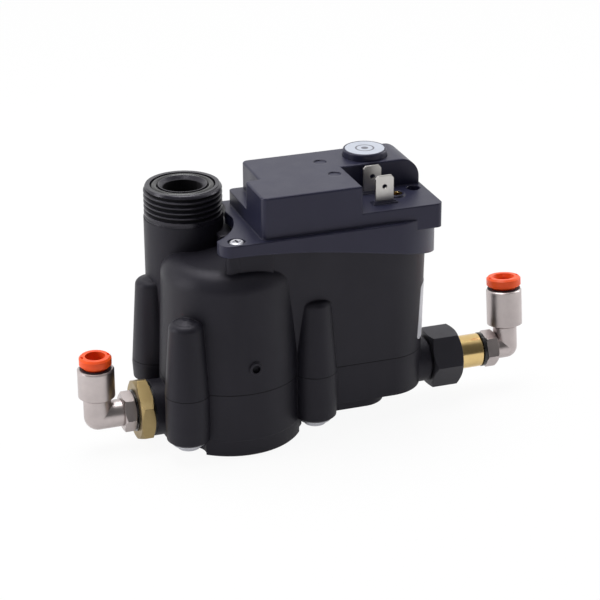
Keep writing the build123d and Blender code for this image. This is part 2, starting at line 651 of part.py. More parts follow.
with BuildPart() as outlet_stud:
    hex_x(outlet_stud_x, outlet_stud_x + stud_len, outlet_z, stud_af, 6.6)
    turned_x([(95.0, 0), (95.0, 4.3), (95.5, 4.8), (outlet_stud_x + 0.2, 4.8), (outlet_stud_x + 0.2, 0)],
             outlet_z)
    turned_x([(107.0, 0), (107.0, 3.0), (109.0, 3.0), (109.0, 0)], outlet_z)
    rod_x(94.9, 109.1, outlet_z, 1.7, mode=sub)
outlet_stud.part.label = "outlet_stud"


# ---------------------------------------------------------- push-in elbows
def elbow(up, side, turn_x, neck_x, z, neck_r, step_h, mouth_h):
    lathe(up, [(0, 0), (neck_r, 0), (neck_r, step_h - 1.0), (elbow_r, step_h), (elbow_r, mouth_h - 0.5),
               (elbow_r - 0.5, mouth_h), (0, mouth_h)])
    rod_x(neck_x, turn_x, z, neck_r)
    ball = [(neck_r * sin(radians(a)), -neck_r * cos(radians(a))) for a in range(0, 91, 15)]
    lathe(up, ball + [(0, 0)])
    rod_x(neck_x, neck_x + side * 1.7, z, 3.05, mode=sub)
    rod_x(neck_x, turn_x + side * 1.0, z, 1.9, mode=sub)
    lathe(up, [(0, -1.0), (1.9, -1.0), (1.9, step_h - 2.5), (tube_r, step_h - 2.5), (tube_r, mouth_h - 8.6),
               (4.5, mouth_h - 8.6), (4.5, mouth_h - 6.4), (5.3, mouth_h - 6.4), (5.3, mouth_h),
               (0, mouth_h)], sub)


def holder(up, mouth_h, r):
    lathe(up, [(collet_r + 0.06, mouth_h - 5.0), (5.25, mouth_h - 5.0), (5.25, mouth_h + 0.05),
               (r, mouth_h + 0.05), (r, mouth_h + 0.35), (collet_r + 0.06, mouth_h + 0.35)])


def grip(up, mouth_h):
    lathe(up, [(3.35, mouth_h - 6.3), (5.25, mouth_h - 6.3), (5.25, mouth_h - 5.8), (3.35, mouth_h - 5.8)])


def tube_seal(up, mouth_h):
    lathe(up, [(3.35, mouth_h - 8.3), (3.6, mouth_h - 8.55), (4.45, mouth_h - 8.55), (4.45, mouth_h - 6.5),
               (3.6, mouth_h - 6.5), (3.35, mouth_h - 6.8)])


def collar(up, mouth_h, top_h, r, lead_r):
    lathe(up, [(3.3, mouth_h - 4.3), (collet_r, mouth_h - 4.3), (collet_r, top_h - collar_t),
               (r - 0.4, top_h - collar_t), (r, top_h - collar_t + 0.4), (r, top_h - 0.6), (r - 0.6, top_h),
               (lead_r, top_h), (3.3, top_h - 1.4)])
    for side in (-1, 1):
        spot = up * Location((side * (r - 0.95), 0, top_h))
        with Locations(spot):
            Box(0.7, 1.5, 0.9, mode=sub)


outlet_up = Plane(origin=(outlet_turn_x, mid_y, outlet_z), x_dir=x_dir,
                  z_dir=(0, sin(radians(outlet_lean)), cos(radians(outlet_lean))))
vent_up = Plane(origin=(vent_turn_x, mid_y, vent_z), x_dir=x_dir, z_dir=(0, 0, 1))

with BuildPart() as outlet_elbow:
    elbow(outlet_up, 1, outlet_turn_x, outlet_stud_x + stud_len + 0.05, outlet_z, outlet_neck_r,
          outlet_step_h, outlet_mouth_h)
outlet_elbow.part.label = "outlet_elbow"

with BuildPart() as outlet_collet_holder:
    holder(outlet_up, outlet_mouth_h, 5.75)
outlet_collet_holder.part.label = "outlet_collet_holder"

with BuildPart() as outlet_grip_ring:
    grip(outlet_up, outlet_mouth_h)
outlet_grip_ring.part.label = "outlet_grip_ring"

with BuildPart() as outlet_tube_seal:
    tube_seal(outlet_up, outlet_mouth_h)
outlet_tube_seal.part.label = "outlet_tube_seal"

with BuildPart() as outlet_release_collar:
    collar(outlet_up, outlet_mouth_h, outlet_collar_h, outlet_collar_r, 3.8)
outlet_release_collar.part.label = "outlet_release_collar"

# ------------------------------------------------- left port and its fitting
with BuildPart() as vent_reducer:
    hex_x(reducer_x0, reducer_x1, vent_z, reducer_af, 36.6)
    turned_x([(reducer_x1 - 0.2, 0), (reducer_x1 - 0.2, 7.9), (-12.6, 7.9), (-12.1, 7.4), (-12.1, 0)], vent_z)
    rod_x(reducer_x0, -15.5, vent_z, 4.83, mode=sub)
    rod_x(-15.6, -12.0, vent_z, 2.6, mode=sub)
vent_reducer.part.label = "vent_reducer"

with BuildPart() as vent_reducer_seal:
    turned_x([(reducer_x1 + 0.03, 7.95), (reducer_x1 + 0.03, 9.3), (vent_boss_x - 0.03, 9.3),
              (vent_boss_x - 0.03, 7.95)], vent_z)
vent_reducer_seal.part.label = "vent_reducer_seal"

with BuildPart() as vent_stud_seal:
    turned_x([(vent_stud_x + 0.03, 4.85), (vent_stud_x + 0.03, 7.1), (reducer_x0 - 0.03, 7.1),
              (reducer_x0 - 0.03, 4.85)], vent_z)
vent_stud_seal.part.label = "vent_stud_seal"

with BuildPart() as vent_stud:
    hex_x(vent_stud_x - 4.1, vent_stud_x, vent_z, 12.0, 6.6)
    turned_x([(vent_stud_x - 0.2, 0), (vent_stud_x - 0.2, 4.8), (-16.6, 4.8), (-16.1, 4.3), (-16.1, 0)], vent_z)
    turned_x([(-33.0, 0), (-33.0, 3.0), (vent_stud_x - 4.0, 3.0), (vent_stud_x - 4.0, 0)], vent_z)
    rod_x(-33.1, -16.0, vent_z, 1.7, mode=sub)
vent_stud.part.label = "vent_stud"

with BuildPart() as vent_elbow:
    elbow(vent_up, -1, vent_turn_x, vent_stud_x - 4.15, vent_z, vent_neck_r, vent_step_h, vent_mouth_h)
    rod_x(-33.2, vent_stud_x - 4.15, vent_z, 3.05, mode=sub)
vent_elbow.part.label = "vent_elbow"

with BuildPart() as vent_collet_holder:
    holder(vent_up, vent_mouth_h, 5.3)
vent_collet_holder.part.label = "vent_collet_holder"

with BuildPart() as vent_grip_ring:
    grip(vent_up, vent_mouth_h)
vent_grip_ring.part.label = "vent_grip_ring"

with BuildPart() as vent_tube_seal:
    tube_seal(vent_up, vent_mouth_h)
vent_tube_seal.part.label = "vent_tube_seal"

with BuildPart() as vent_release_collar:
    collar(vent_up, vent_mouth_h, vent_collar_h, vent_collar_r, 3.4)
vent_release_collar.part.label = "vent_release_collar"

# --------------------------------------------------------------- name label
with BuildPart() as name_label:
    loft([d_shape(parting_z, body_low_r + 0.15, body_low_x), d_shape(body_top_z, body_top_r + 0.15, body_top_x)])
    loft([d_shape(parting_z, body_low_r, body_low_x), d_shape(body_top_z, body_top_r, body_top_x)], mode=sub)
    with BuildSketch(Plane.YZ.offset(70.0)):
        with Locations((mid_y, -47.0)):
            RectangleRounded(21.0, 20.4, 1.5)
    extrude(amount=20.0, mode=Mode.INTERSECT)
name_label.part.label = "name_label"

nodes = [
    housing, bottom_cover, bottom_cover_seal, bottom_cover_screws, electronics_cap, cap_gasket, cap_screws,
    inlet_o_ring, test_button, test_button_clip, test_button_label, test_button_spring, circuit_board,
    light_guides, power_blade_front, power_blade_back, terminal_insert, level_sensor_probe, probe_seal,
    core_tube, armature, armature_spring, solenoid_coil, coil_yoke, diaphragm, diaphragm_plate,
    diaphragm_spring, outlet_union_nut, outlet_seal_ring, outlet_nipple, outlet_stud_seal, outlet_stud,
    outlet_elbow, outlet_collet_holder, outlet_grip_ring, outlet_tube_seal, outlet_release_collar,
    vent_reducer, vent_reducer_seal, vent_stud_seal, vent_stud, vent_elbow, vent_collet_holder,
    vent_grip_ring, vent_tube_seal, vent_release_collar, name_label,
]
for node in nodes:
    export_step(node.part, "parts/" + node.part.label + ".step")
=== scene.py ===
import bpy
import bmesh
import json
import math
from mathutils import Matrix, Vector

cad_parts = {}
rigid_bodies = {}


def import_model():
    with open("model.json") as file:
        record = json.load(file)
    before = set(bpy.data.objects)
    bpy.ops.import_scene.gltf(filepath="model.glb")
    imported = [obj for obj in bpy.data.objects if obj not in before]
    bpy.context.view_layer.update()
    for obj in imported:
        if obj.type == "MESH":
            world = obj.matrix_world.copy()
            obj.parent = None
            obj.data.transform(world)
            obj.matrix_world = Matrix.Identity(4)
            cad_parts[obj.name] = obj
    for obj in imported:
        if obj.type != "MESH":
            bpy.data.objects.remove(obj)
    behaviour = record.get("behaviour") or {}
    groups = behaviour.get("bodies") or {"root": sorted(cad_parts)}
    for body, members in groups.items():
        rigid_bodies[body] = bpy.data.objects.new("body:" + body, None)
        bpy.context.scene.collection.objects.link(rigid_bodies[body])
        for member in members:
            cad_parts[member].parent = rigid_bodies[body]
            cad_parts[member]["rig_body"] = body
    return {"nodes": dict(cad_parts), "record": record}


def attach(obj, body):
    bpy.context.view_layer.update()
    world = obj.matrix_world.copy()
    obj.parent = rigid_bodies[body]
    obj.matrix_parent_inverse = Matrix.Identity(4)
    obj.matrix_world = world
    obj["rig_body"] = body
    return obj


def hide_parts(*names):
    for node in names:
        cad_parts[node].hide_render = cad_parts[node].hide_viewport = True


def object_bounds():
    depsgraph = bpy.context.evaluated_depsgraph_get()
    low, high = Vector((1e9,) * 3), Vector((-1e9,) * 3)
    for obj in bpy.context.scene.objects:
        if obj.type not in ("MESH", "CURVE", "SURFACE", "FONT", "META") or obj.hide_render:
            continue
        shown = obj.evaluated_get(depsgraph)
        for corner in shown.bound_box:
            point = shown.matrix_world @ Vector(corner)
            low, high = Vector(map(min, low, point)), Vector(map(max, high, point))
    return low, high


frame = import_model()
cad_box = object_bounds()
nodes = frame["nodes"]
mm = 0.001

# sizes shared with the solids, in millimetres
PARTING_Z = -61.0
MID_Y = -17.2
BORE_R = 6.66
# depth to which painted shade runs down the inlet bore
BORE_SHADE_Z = -24.0
THREAD_R = 13.22
THREAD_ROOT_R = 12.12
THREAD_PITCH = 1.814
THREAD_END = -11.2


# ---------------------------------------------------------------- materials
class Mat:
    """A node material with short calls for the usual links."""

    def __init__(self, name):
        self.m = bpy.data.materials.new(name)
        self.m.use_nodes = True
        self.t = self.m.node_tree
        self.t.nodes.clear()
        self.out = self.t.nodes.new("ShaderNodeOutputMaterial")
        self.b = self.t.nodes.new("ShaderNodeBsdfPrincipled")
        self.t.links.new(self.b.outputs[0], self.out.inputs[0])
        self.coord = self.t.nodes.new("ShaderNodeTexCoord").outputs["Object"]

    def link(self, a, b):
        self.t.links.new(a, b)

    def scaled(self, x, y, z):
        n = self.t.nodes.new("ShaderNodeMapping")
        n.inputs["Scale"].default_value = (x, y, z)
        self.link(self.coord, n.inputs["Vector"])
        return n.outputs[0]

    def noise(self, scale, detail=3.0, rough=0.5, vector=None):
        n = self.t.nodes.new("ShaderNodeTexNoise")
        n.inputs["Scale"].default_value = scale
        n.inputs["Detail"].default_value = detail
        n.inputs["Roughness"].default_value = rough
        self.link(vector or self.coord, n.inputs["Vector"])
        return n.outputs["Fac"]

    def ramp(self, fac, stops):
        n = self.t.nodes.new("ShaderNodeValToRGB")
        while len(n.color_ramp.elements) < len(stops):
            n.color_ramp.elements.new(0.5)
        for e, (p, c) in zip(n.color_ramp.elements, stops):
            e.position = p
            e.color = (*c, 1) if len(c) == 3 else c
        self.link(fac, n.inputs[0])
        return n.outputs[0]

    def grey(self, fac, lo, hi, a=0.0, b=1.0):
        return self.ramp(fac, [(a, (lo, lo, lo)), (b, (hi, hi, hi))])

    def maths(self, op, a, b=None):
        n = self.t.nodes.new("ShaderNodeMath")
        n.operation = op
        for i, v in enumerate((a, b)):
            if v is None:
                continue
            if hasattr(v, "is_output"):
                self.link(v, n.inputs[i])
            else:
                n.inputs[i].default_value = v
        return n.outputs[0]

    def blend(self, fac, low, high):
        """Colour low where fac is 0, high where it is 1."""
        n = self.t.nodes.new("ShaderNodeMix")
        n.data_type = "RGBA"
        self.link(fac, n.inputs[0])
        for i, v in ((6, low), (7, high)):
            if hasattr(v, "is_output"):
                self.link(v, n.inputs[i])
            else:
                n.inputs[i].default_value = (*v, 1)
        return n.outputs[2]

    def place(self):
        """X, Y and Z of the shaded point in the object's own frame, in millimetres."""
        c = self.t.nodes.new("ShaderNodeTexCoord")
        s = self.t.nodes.new("ShaderNodeSeparateXYZ")
        self.link(c.outputs["Object"], s.inputs[0])
        return [self.maths("MULTIPLY", o, 1000.0) for o in s.outputs]

    def radius(self, x, y, cx=0.0, cy=0.0):
        """Distance of x, y from the upright axis through cx, cy."""
        dx, dy = self.maths("SUBTRACT", x, cx), self.maths("SUBTRACT", y, cy)
        squares = self.maths("ADD", self.maths("MULTIPLY", dx, dx), self.maths("MULTIPLY", dy, dy))
        return self.maths("SQRT", squares)

    def within(self, v, a, b):
        """0 at a and below, 1 at b and above; a may be over b."""
        n = self.t.nodes.new("ShaderNodeMapRange")
        n.inputs["From Min"].default_value = a
        n.inputs["From Max"].default_value = b
        self.link(v, n.inputs["Value"])
        return n.outputs[0]

    def soft_edge(self, radius):
        n = self.t.nodes.new("ShaderNodeBevel")
        n.samples = 6
        n.inputs["Radius"].default_value = radius * mm
        return n.outputs[0]

    def bump(self, height, strength, distance, normal=None):
        n = self.t.nodes.new("ShaderNodeBump")
        n.inputs["Strength"].default_value = strength
        n.inputs["Distance"].default_value = distance
        self.link(height, n.inputs["Height"])
        if normal is not None:
            self.link(normal, n.inputs["Normal"])
        return n.outputs[0]

    def set(self, **kw):
        names = {"color": "Base Color", "rough": "Roughness", "metal": "Metallic",
                 "spec": "Specular IOR Level", "normal": "Normal", "sss": "Subsurface Weight"}
        for k, v in kw.items():
            s = self.b.inputs[names[k]]
            if hasattr(v, "is_output"):
                self.link(v, s)
            elif k == "color":
                s.default_value = (*v, 1)
            else:
                s.default_value = v
        return self


def moulded(name, low, high, rough_lo, rough_hi, grain, strength,
            spec=0.28, edge_r=0.45, tint=(0.93, 0.90, 1.0), dark=None):
    """Moulded black plastic: fine spark-eroded grain, slow colour drift and faint handling marks.

    dark, where given, makes a 0..1 output that is low at the housing seam, a dark joint, and in the
    piece's grooves and bore, which get painted shade.
    """
    m = Mat(name)
    slow = m.noise(28, 3, 0.6)
    fine = m.noise(grain, 4, 0.65)
    marks = m.noise(160, 2, 0.5, m.scaled(1, 1, 0.25))
    tone = m.ramp(slow, [(0.3, low), (0.7, high)])
    rough = m.grey(m.maths("ADD", m.maths("MULTIPLY", fine, 0.6), m.maths("MULTIPLY", marks, 0.4)),
                   rough_lo, rough_hi, 0.3, 0.7)
    if dark is not None:
        clear = dark(m)
        # near-black and matt where the mask is low: a dark joint at the seam, painted shade in grooves and
        # bore
        tone = m.blend(clear, (0.0015, 0.0015, 0.0018), tone)
        rough = m.blend(clear, (0.9, 0.9, 0.9), rough)
    m.set(color=tone, rough=rough)
    grainy = m.bump(fine, strength, 0.00012, m.soft_edge(edge_r))
    m.set(normal=m.bump(slow, 0.05, 0.0006, grainy), spec=spec)
    m.b.inputs["Specular Tint"].default_value = (*tint, 1)
    return m.m


def seam_and_bore_shade(m):
    """Low, so dark, in the seam between housing and bottom cover, a dark joint, and down the inlet bore,
    where the dark is painted shade.
    """
    x, y, z = m.place()
    seam = m.within(m.maths("ABSOLUTE", m.maths("ADD", z, -PARTING_Z)), 0.06, 0.18)
    # painted shade down the upper inlet bore, inside 6.75 mm radius
    bore = m.maths("MAXIMUM", m.within(m.radius(x, y), 6.75, 7.1),
                   m.within(z, BORE_SHADE_Z + 1.0, BORE_SHADE_Z))
    return m.maths("MINIMUM", seam, bore)


def thread_groove_shade(m):
    """Painted shade: clear on the crests and the end face, dark in the thread grooves and down the bore.
    """
    x, y, z = m.place()
    radius = m.radius(x, y)
    face = m.maths("MINIMUM", m.within(radius, 12.05, 11.9), m.within(radius, 6.75, 7.3))
    flank = m.maths("MAXIMUM", m.within(radius, 12.15, 13.0), face)
    return m.maths("MAXIMUM", flank, m.within(z, -1.3, -0.9))


housing_low, housing_high = (0.0094, 0.0088, 0.0132), (0.0136, 0.0128, 0.0186)
housing_mat = moulded("housing_black", housing_low, housing_high, 0.40, 0.54, 5200, 0.35,
                      dark=seam_and_bore_shade)
thread_mat = moulded("housing_thread", housing_low, housing_high, 0.24, 0.34, 5200, 0.15,
                     spec=0.5, edge_r=0.12, dark=thread_groove_shade)
cover_mat = moulded("cover_blue_black", (0.0122, 0.0128, 0.0310), (0.0170, 0.0178, 0.0400),
                    0.32, 0.44, 3800, 0.14, spec=0.40, edge_r=0.8, tint=(0.90, 0.86, 1.0))
black_mat = moulded("black_plastic", (0.0150, 0.0146, 0.0190), (0.0200, 0.0195, 0.0250),
                    0.42, 0.56, 3000, 0.30, spec=0.42, edge_r=0.3)


def turned(name, low, high, rough, lines, grain=0.05, edge_r=0.25):
    """Turned and plated metal: fine lathe lines, faint clouding and handling haze."""
    m = Mat(name)
    cloud = m.noise(90, 4, 0.6)
    ring = m.noise(1.0, 2, 0.5, m.scaled(*lines))
    haze = m.noise(420, 3, 0.6)
    m.set(color=m.ramp(cloud, [(0.3, low), (0.72, high)]), metal=1.0)
    m.set(rough=m.grey(m.maths("ADD", m.maths("MULTIPLY", cloud, 0.5), m.maths("MULTIPLY", haze, 0.5)),
                       rough[0], rough[1], 0.3, 0.7))
    m.set(normal=m.bump(ring, 0.10, 0.00008, m.bump(haze, grain, 0.0001, m.soft_edge(edge_r))))
    return m.m


nickel_mat = turned("nickel_turned", (0.44, 0.39, 0.385), (0.56, 0.50, 0.49), (0.28, 0.40),
                    (9000, 60, 60))
brass_mat = turned("brass_turned", (0.66, 0.47, 0.20), (0.78, 0.58, 0.27), (0.16, 0.22),
                   (8000, 60, 60), 0.015)
# darker, rougher copy of the brass, used on the left port's hexagon
dark_brass_mat = turned("brass_darker_rougher", (0.26, 0.19, 0.085), (0.36, 0.27, 0.13), (0.34, 0.46),
                        (8000, 60, 60), 0.03)
steel_mat = turned("zinc_steel", (0.50, 0.50, 0.54), (0.62, 0.62, 0.66), (0.36, 0.50),
                   (400, 400, 6000), 0.03)
tin_mat = turned("tin_strip", (0.52, 0.50, 0.48), (0.64, 0.62, 0.60), (0.28, 0.38),
                 (300, 300, 9000), 0.02, 0.12)

m = Mat("orange_acetal")
cloud = m.noise(240, 3, 0.55)
m.set(color=m.ramp(cloud, [(0.3, (0.92, 0.078, 0.010)), (0.7, (0.98, 0.110, 0.016))]))
m.set(rough=m.grey(m.noise(900, 3), 0.32, 0.44, 0.3, 0.7), spec=0.3)
m.set(normal=m.bump(m.noise(1500, 3), 0.06, 0.0001))
orange_mat = m.m

m = Mat("rubber_gloss")
m.set(color=m.ramp(m.noise(60, 3), [(0.3, (0.008, 0.008, 0.009)), (0.7, (0.013, 0.013, 0.014))]))
m.set(rough=m.grey(m.noise(700, 3), 0.20, 0.34, 0.3, 0.7), normal=m.bump(m.noise(1200, 2), 0.07, 0.0001))
rubber_mat = m.m

label_box = nodes["test_button_label"].bound_box
label_x, label_y = ((min(c[i] for c in label_box) + max(c[i] for c in label_box)) / 2 / mm for i in (0, 1))

m = Mat("label_film_grey")
x, y, _ = m.place()
reach = m.radius(x, y, label_x, label_y)
ring = m.within(m.maths("ABSOLUTE", m.maths("SUBTRACT", reach, 3.0)), 0.22, 0.36)
mark = m.maths("MINIMUM", ring, m.within(reach, 1.15, 1.30))
film = m.ramp(m.noise(120, 3), [(0.3, (0.43, 0.46, 0.53)), (0.7, (0.49, 0.52, 0.59))])
m.set(color=m.blend(mark, (0.10, 0.10, 0.13), film))
m.set(rough=m.grey(m.noise(1500, 2), 0.30, 0.42, 0.3, 0.7),
      normal=m.bump(m.noise(2600, 2), 0.08, 0.00005))
label_grey_mat = m.m

m = Mat("label_film_white")
_, y, z = m.place()
phase = m.maths("FRACT", m.maths("MULTIPLY", z, 0.28))
bars = m.within(m.maths("ABSOLUTE", m.maths("SUBTRACT", phase, 0.5)), 0.16, 0.20)
side = m.within(m.maths("ABSOLUTE", m.maths("ADD", y, -MID_Y)), 6.8, 7.0)
film = m.ramp(m.noise(100, 3), [(0.3, (0.56, 0.56, 0.60)), (0.7, (0.64, 0.64, 0.68))])
m.set(color=m.blend(m.maths("MAXIMUM", bars, side), (0.09, 0.09, 0.12), film))
m.set(rough=m.grey(m.noise(1500, 2), 0.38, 0.5, 0.3, 0.7),
      normal=m.bump(m.noise(2600, 2), 0.08, 0.00005))
label_white_mat = m.m

m = Mat("light_guide")
m.set(color=m.ramp(m.noise(300, 2), [(0.3, (0.06, 0.07, 0.09)), (0.7, (0.10, 0.11, 0.13))]))
m.set(rough=m.grey(m.noise(900, 2), 0.10, 0.18, 0.3, 0.7), spec=0.6)
guide_mat = m.m

m = Mat("solder_mask")
trace = m.noise(500, 2, 0.5, m.scaled(1, 3, 1))
m.set(color=m.ramp(trace, [(0.47, (0.008, 0.070, 0.025)), (0.53, (0.020, 0.130, 0.050))]), rough=0.35)
m.set(normal=m.bump(trace, 0.2, 0.0001))
board_mat = m.m

m = Mat("coil_resin")
m.set(color=m.ramp(m.noise(60, 4), [(0.3, (0.05, 0.03, 0.015)), (0.7, (0.10, 0.06, 0.03))]), rough=0.4)
m.set(normal=m.bump(m.noise(1.0, 1, 0.5, m.scaled(40, 40, 5000)), 0.3, 0.0002))
coil_mat = m.m

m = Mat("fluoroplastic")
m.set(color=m.ramp(m.noise(80, 3), [(0.3, (0.70, 0.70, 0.66)), (0.7, (0.80, 0.80, 0.76))]))
m.set(rough=m.grey(m.noise(600, 2), 0.3, 0.42, 0.3, 0.7), sss=0.1,
      normal=m.bump(m.noise(900, 2), 0.08, 0.0001))
probe_mat = m.m

by_slot = {
    "housing_black": housing_mat, "cover_blue_black": cover_mat, "black_plastic": black_mat,
    "nickel": nickel_mat, "brass": brass_mat, "steel": steel_mat, "tin": tin_mat,
    "orange_plastic": orange_mat, "rubber": rubber_mat, "label_grey": label_grey_mat,
    "label_white": label_white_mat, "clear_plastic": guide_mat, "board_green": board_mat,
    "coil_resin": coil_mat, "probe_white": probe_mat,
}
slot_of = {s["node"]: s["material_slot"] for s in frame["record"]["subparts"]}


def paint(obj, mat):
    obj.data.materials.clear()
    obj.data.materials.append(mat)


for name, obj in nodes.items():
    obj.data = obj.data.copy() if obj.data.users > 1 else obj.data
    paint(obj, by_slot[slot_of[name]])
# the left port's hexagon gets a darker, rougher brass than the outlet's nipple
paint(nodes["vent_reducer"], dark_brass_mat)


# ---------------------------------------------------------------- modelled details
def new_object(name, mesh, body, mat):
    o = bpy.data.objects.new(name, mesh)
    bpy.context.scene.collection.objects.link(o)
    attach(o, body)
    if mat is not None:
        paint(o, mat)
    return o


def ring_mesh(name, profile, steps):
    """Lathe of closed (radius, height) points, in millimetres, about Z."""
    bm = bmesh.new()
    rings = []
    for k in range(steps):
        a = 2 * math.pi * k / steps
        row = []
        for r, h in profile:
            row.append(bm.verts.new(Vector((r * math.cos(a), r * math.sin(a), h)) * mm))
        rings.append(row)
    n = len(profile)
    for k in range(steps):
        p, q = rings[k], rings[(k + 1) % steps]
        for i in range(n):
            j = (i + 1) % n
            bm.faces.new((p[i], q[i], q[j], p[j]))
    bmesh.ops.recalc_face_normals(bm, faces=bm.faces)
    me = bpy.data.meshes.new(name)
    bm.to_mesh(me)
    bm.free()
    return me


def helix_groove(name, r_in, r_out, half_in, half_out, pitch, z_top, z_end, steps=72, fade=0.6):
    """Solid of a thread groove: a trapezoid swept down a helix, running out at its end."""
    bm = bmesh.new()
    turns = (z_top - z_end) / pitch
    count = int(turns * steps)
    rows = []
    for k in range(count + 1):
        a = 2 * math.pi * k / steps
        z = z_top - pitch * k / steps
        left = (count - k) / steps
        out = 0.0 if left > fade else (1 - left / fade) * (r_out - r_in) * 0.75
        row = []
        low, high = r_in + out, r_out + out * 0.2
        for r, h in ((low, -half_in), (low, half_in), (high, half_out), (high, -half_out)):
            row.append(bm.verts.new(Vector((r * math.cos(a), r * math.sin(a), z + h)) * mm))
        rows.append(row)
    for k in range(count):
        p, q = rows[k], rows[k + 1]
        for i in range(4):
            j = (i + 1) % 4
            bm.faces.new((p[i], p[j], q[j], q[i]))
    bm.faces.new(rows[0])
    bm.faces.new(rows[-1])
    bmesh.ops.recalc_face_normals(bm, faces=bm.faces)
    me = bpy.data.meshes.new(name)
    bm.to_mesh(me)
    bm.free()
    return me


def trimmed(node, name, keep, mat):
    """A copy of a CAD node's mesh without some faces, in the node's place, with its exact normals."""
    src = nodes[node]
    old = src.data
    normals = [tuple(n.vector) for n in old.corner_normals]
    faces, custom = [], []
    for p in old.polygons:
        if keep([old.vertices[v].co for v in p.vertices]):
            faces.append(tuple(p.vertices))
            custom.extend(normals[k] for k in p.loop_indices)
    used = sorted({v for f in faces for v in f})
    index = {v: k for k, v in enumerate(used)}
    me = bpy.data.meshes.new(name)
    points = [tuple(old.vertices[v].co) for v in used]
    me.from_pydata(points, [], [tuple(index[v] for v in f) for f in faces])
    me.update()
    for p in me.polygons:
        p.use_smooth = True
    me.normals_split_custom_set(custom)
    o = new_object(name, me, src["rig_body"], mat)
    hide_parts(node)
    return o


def cut_out(o, cutters):
    """Takes closed meshes out of a closed mesh."""
    for cutter in cutters:
        c = bpy.data.objects.new(o.name + "_cut", cutter)
        bpy.context.scene.collection.objects.link(c)
        b = o.modifiers.new("cut", "BOOLEAN")
        b.operation = "DIFFERENCE"
        b.solver = "EXACT"
        b.object = c
        bpy.context.view_layer.update()
        done = bpy.data.meshes.new_from_object(o.evaluated_get(bpy.context.evaluated_depsgraph_get()))
        o.modifiers.clear()
        o.data = done
        bpy.data.objects.remove(c)


def crisp(o, mat, angle=34):
    paint(o, mat)
    for p in o.data.polygons:
        p.use_smooth = True
    o.data.set_sharp_from_angle(angle=math.radians(angle))


def below_thread(points):
    """False for the faces of the pipe end that inlet_thread stands in for."""
    mid = sum(points, Vector()) / len(points)
    return not (math.hypot(mid.x, mid.y) < 13.3 * mm and mid.z > THREAD_END * mm)


trimmed("housing", "housing_moulded", below_thread, housing_mat)
# pipe end: crest chamfer, o-ring groove in the end face, lead-in to the bore
tube = ring_mesh("inlet_tube", [
    (BORE_R, THREAD_END - 0.3), (THREAD_R, THREAD_END - 0.3), (THREAD_R, -1.3), (12.45, 0), (11.05, 0),
    (11.0, -0.05), (11.0, -1.2), (8.3, -1.2), (8.3, -0.05), (8.25, 0), (8.0, 0), (BORE_R, -1.3)], 128)
thread = bpy.data.objects.new("inlet_thread", tube)
bpy.context.scene.collection.objects.link(thread)
cut_out(thread, [helix_groove("thread_groove", THREAD_ROOT_R, 13.55, 0.16, 0.86, THREAD_PITCH,
                              1.5, -10.7, steps=96)])
crisp(thread, thread_mat)
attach(thread, "drain_body")


def prism(name, outline, z0, z1, bevel=0.6):
    """Upright block on an outline of (x, y) points, in millimetres, with rounded upright and top edges."""
    bm = bmesh.new()
    low = [bm.verts.new(Vector((x, y, z0)) * mm) for x, y in outline]
    high = [bm.verts.new(Vector((x, y, z1)) * mm) for x, y in outline]
    bm.faces.new(low)
    bm.faces.new(high)
    n = len(outline)
    for i in range(n):
        bm.faces.new((low[i], low[(i + 1) % n], high[(i + 1) % n], high[i]))
    bmesh.ops.recalc_face_normals(bm, faces=bm.faces)
    edges = [e for e in bm.edges if not all(v in low for v in e.verts)]
    bmesh.ops.bevel(bm, geom=edges, offset=bevel * mm, segments=4, profile=0.5, affect="EDGES")
    me = bpy.data.meshes.new(name)
    bm.to_mesh(me)
    bm.free()
    return me


# web that ties the inlet pipe to the body, behind the collector's crown
web_outline = [(8, -14), (18.6, -14), (18.6, 0.9), (14.6, 6.6), (8, 6.6)]
web = new_object("pipe_web", prism("pipe_web", web_outline, -24.0, -15.0), "drain_body", None)
crisp(web, housing_mat, 40)

# ---------------------------------------------------------------- camera
target = Vector((41.24, 0.0, -48.50)) * mm
azimuth, elevation, roll = map(math.radians, (-19.137, 23.398, -0.343))
distance = 775.96 * mm
back = Vector((math.sin(azimuth) * math.cos(elevation), -math.cos(azimuth) * math.cos(elevation),
               math.sin(elevation)))
cam_data = bpy.data.cameras.new("camera")
cam = bpy.data.objects.new("camera", cam_data)
bpy.context.scene.collection.objects.link(cam)
bpy.context.scene.camera = cam
cam_data.lens = 133.97
cam_data.sensor_width = 36.0
cam_data.clip_start = 0.01
cam_data.clip_end = 20
cam.rotation_mode = "QUATERNION"
cam.location = target + back * distance
right = Vector((math.cos(azimuth), math.sin(azimuth), 0))
up = back.cross(right)
r2 = right * math.cos(roll) + up * math.sin(roll)
u2 = up * math.cos(roll) - right * math.sin(roll)
cam.rotation_quaternion = Matrix((r2, u2, back)).transposed().to_quaternion()

# ---------------------------------------------------------------- stage and light
floor_z = cad_box[0].z - 0.0005


def plane(name, size, place):
    bm = bmesh.new()
    bmesh.ops.create_grid(bm, x_segments=8, y_segments=8, size=size / 2)
    me = bpy.data.meshes.new(name)
    bm.to_mesh(me)
    bm.free()
    o = bpy.data.objects.new(name, me)
    o.location = place
    bpy.context.scene.collection.objects.link(o)
    return o


floor = plane("floor", 8.0, (0, 0, floor_z))
fm = bpy.data.materials.new("floor_white")
fm.use_nodes = True
ft = fm.node_tree
fb = ft.nodes["Principled BSDF"]
fb.inputs["Base Color"].default_value = (0.9, 0.9, 0.9, 1)
fb.inputs["Roughness"].default_value = 0.9
fb.inputs["Specular IOR Level"].default_value = 0.1
